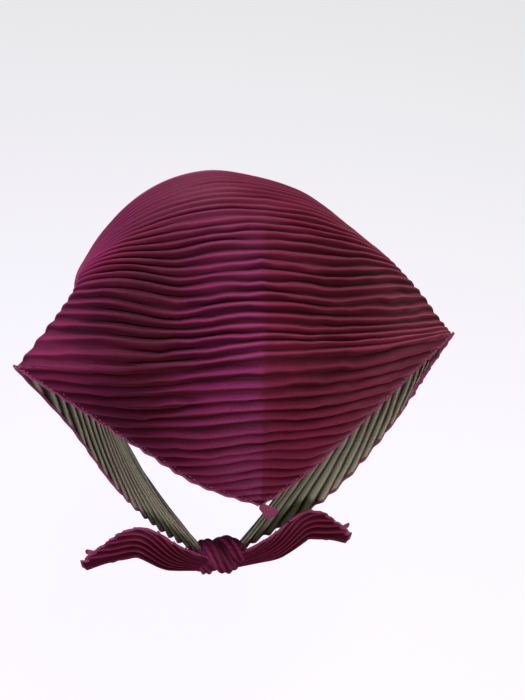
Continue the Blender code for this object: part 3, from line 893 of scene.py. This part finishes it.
def clothMaterial(name, colours, foldShade=None, wrongSideSheen=None, cast=None, sheen="sheen", weave="twill"):
    # the cloth: painted shade by the fold attribute, the wrong side's painted sheen and shade by
    # that attribute, painted purple light where asked, twill in colour and bump; cloth with no
    # folds is as rough all over as the tone group would make it
    made = bpy.data.materials.new(name)
    made.use_nodes = True
    tree = made.node_tree
    shader = tree.nodes["Principled BSDF"]
    shader.inputs["Sheen Weight"].default_value = clothLook[sheen]
    shader.inputs["Sheen Roughness"].default_value = clothLook["sheenRoughness"]
    shader.inputs["Sheen Tint"].default_value = (*clothLook["sheenTint"], 1.0)
    shader.inputs["Specular IOR Level"].default_value = clothLook["specular"]
    place = tree.nodes.new("ShaderNodeUVMap") if wrongSideSheen else tree.nodes.new("ShaderNodeTexCoord")
    weaveNode = tree.nodes.new("ShaderNodeGroup")
    weaveNode.node_tree = twill
    weaveNode.inputs["Pitch"].default_value = clothLook[weave]
    tree.links.new(place.outputs["UV" if wrongSideSheen else "Object"], weaveNode.inputs["Place"])
    tone = toneNode(tree, colours, foldShade, weaveNode.outputs["Light"])
    colour = tone.outputs["Color"]
    if wrongSideSheen:
        backSheenAndShade = toneNode(tree, wrongSideSheen, foldShade, weaveNode.outputs["Light"])
        colour = mixColour(tree, attribute(tree, "wrongSide"), colour, backSheenAndShade.outputs["Color"])
    # painted purple light multiplied into the colour
    if cast:
        colour = mixColour(tree, attribute(tree, cast), colour, clothLook[cast], "MULTIPLY")
    tree.links.new(colour, shader.inputs["Base Color"])
    if foldShade:
        tree.links.new(tone.outputs["Roughness"], shader.inputs["Roughness"])
    else:
        change, inValley = clothLook["roughness"]
        plain = inValley + change * clothLook["plainFold"] ** clothLook["tonePower"]
        shader.inputs["Roughness"].default_value = plain
    bump = tree.nodes.new("ShaderNodeBump")
    bump.inputs["Strength"].default_value = clothLook["bumpStrength"]
    bump.inputs["Distance"].default_value = clothLook["bumpDepth"]
    tree.links.new(weaveNode.outputs["Height"], bump.inputs["Height"])
    tree.links.new(bump.outputs["Normal"], shader.inputs["Normal"])
    return made


pleatCloth = clothMaterial("pleatedCloth", clothLook["pleats"], "foldShade",
                           wrongSideSheen=clothLook["wrongSide"], cast="paintedPurpleLight")
hemCloth = clothMaterial("rolledHemCloth", clothLook["hem"])
threadCloth = clothMaterial("hemThread", clothLook["thread"], sheen="threadSheen",
                            weave="threadTwill")
knotCloth = clothMaterial("knottedCloth", clothLook["knot"], "foldShade")
for piece, material in (
    (kerchief, pleatCloth), (tieLeft, pleatCloth), (tieRight, pleatCloth), (rolledHem, hemCloth),
    (tieHem, hemCloth), (hemStitches, threadCloth), (knotPiece, knotCloth), (tipTab, hemCloth),
    (tieTabs[0], hemCloth), (tieTabs[1], hemCloth),
):
    piece.data.materials.append(material)
    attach(piece, "root")
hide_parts("kerchief")
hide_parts("knot")
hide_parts("tie_end_left")
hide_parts("tie_end_right")
print("materials given, pieces riding on the root")

# Camera: behind, a little to the left, and above
view = {
    "azimuth": 13.0,            # degrees from +Y towards +X
    "elevation": 35.0,
    "roll": 3.5,
    "distance": 0.75,           # m from the middle of the dome
    "focalPixels": 1273.0,      # of a picture 700 high
    "frame": (525.0, 700.0),
    "centreAt": (225.0, 324.0),  # where the middle of the dome comes
    "sensor": 36.0,             # mm
}
turn, rise, roll = (math.radians(view[k]) for k in ("azimuth", "elevation", "roll"))
backward = np.array((math.sin(turn) * math.cos(rise), math.cos(turn) * math.cos(rise),
                     math.sin(rise)))
level = np.array((-math.cos(turn), math.sin(turn), 0.0))
steep = np.cross(backward, level)
wide, tall = view["frame"]


def standing(thing, across, upwards, away, place):
    # the thing turned so that away points out of its back, set at the place and linked
    placed = np.eye(4)
    placed[:3, 0], placed[:3, 1], placed[:3, 2], placed[:3, 3] = across, upwards, away, place
    thing.matrix_world = placed.T.tolist()
    bpy.context.scene.collection.objects.link(thing)


cameraData = bpy.data.cameras.new("camera")
cameraData.sensor_fit = "VERTICAL"
cameraData.sensor_height = view["sensor"]
cameraData.lens = view["sensor"] * view["focalPixels"] / tall
cameraData.shift_x = (wide / 2 - view["centreAt"][0]) / tall
cameraData.shift_y = -(tall / 2 - view["centreAt"][1]) / tall
camera = bpy.data.objects.new("camera", cameraData)
standing(camera, math.cos(roll) * level + math.sin(roll) * steep,
         -math.sin(roll) * level + math.cos(roll) * steep, backward,
         domeMiddle + view["distance"] * backward)
bpy.context.scene.camera = camera

# Pale floor and soft studio light
studio = {
    "floorDrop": 0.40,          # m below the lowest point
    "floorSize": 14.0,
    "floorRoughness": 0.9,
    "floorSeen": 0.30,
    "floorGlow": 0.74,          # what the camera sees of it without any light
    "floorBounce": 0.10,        # what it gives back to the cloth
    "worldStrength": 0.07,
    "lights": (
        # name, m from the middle of the dome, size, watts, colour
        ("leftWindow", (1.30, -0.20, 0.30), 0.40, 2.5, (0.80, 0.58, 1.60)),
        ("leftUpper", (1.00, -0.10, 0.95), 0.40, 7.5, (0.76, 0.52, 1.75)),
        ("rightWindow", (-1.30, -0.20, 0.35), 0.40, 5.0, (1.0, 0.85, 0.90)),
        ("overheadBack", (0.0, 0.65, 1.10), 0.30, 4.5, (1.0, 0.92, 0.90)),
        ("overheadFront", (0.10, -0.45, 1.20), 0.30, 9.5, (1.0, 1.0, 1.0)),
        ("lowBack", (0.20, 1.40, 0.10), 0.50, 10.0, (0.95, 0.74, 1.12)),
    ),
}


def makeFloor():
    # one large square below the scarf, with one tone for the camera and another for the light
    half = studio["floorSize"] / 2
    low = cadBounds[0][2] - studio["floorDrop"]
    corners = ((-half, -half, low), (half, -half, low), (half, half, low), (-half, half, low))
    floor = makeMesh("studio_floor", np.array(corners), [[0, 1, 2, 3]])
    made = bpy.data.materials.new("paleFloor")
    made.use_nodes = True
    tree = made.node_tree
    shader = tree.nodes["Principled BSDF"]
    shader.inputs["Roughness"].default_value = studio["floorRoughness"]
    shader.inputs["Specular IOR Level"].default_value = 0.0
    seen = tree.nodes.new("ShaderNodeLightPath").outputs["Is Camera Ray"]
    tone = mixColour(tree, seen, (studio["floorBounce"],) * 3, (studio["floorSeen"],) * 3)
    tree.links.new(tone, shader.inputs["Base Color"])
    glow = mixColour(tree, seen, (0.0, 0.0, 0.0), (studio["floorGlow"],) * 3)
    tree.links.new(glow, shader.inputs["Emission Color"])
    shader.inputs["Emission Strength"].default_value = 1.0
    floor.data.materials.append(made)


makeFloor()
world = bpy.data.worlds.new("studio")
bpy.context.scene.world = world
world.use_nodes = True
world.node_tree.nodes["Background"].inputs["Color"].default_value = (1.0, 1.0, 1.0, 1.0)
world.node_tree.nodes["Background"].inputs["Strength"].default_value = studio["worldStrength"]
for name, place, size, watts, colour in studio["lights"]:
    data = bpy.data.lights.new(name, "AREA")
    data.shape = "DISK"
    data.size = size
    data.energy = watts
    data.color = colour
    away = unit(np.array(place))
    across = unit(np.cross((0.0, 1.0, 0.2), away))  # from a way that no lamp lies on
    standing(bpy.data.objects.new(name, data), across, np.cross(away, across), away,
             domeMiddle + np.array(place))
bpy.context.scene.view_settings.view_transform = "Standard"
print("studio set")
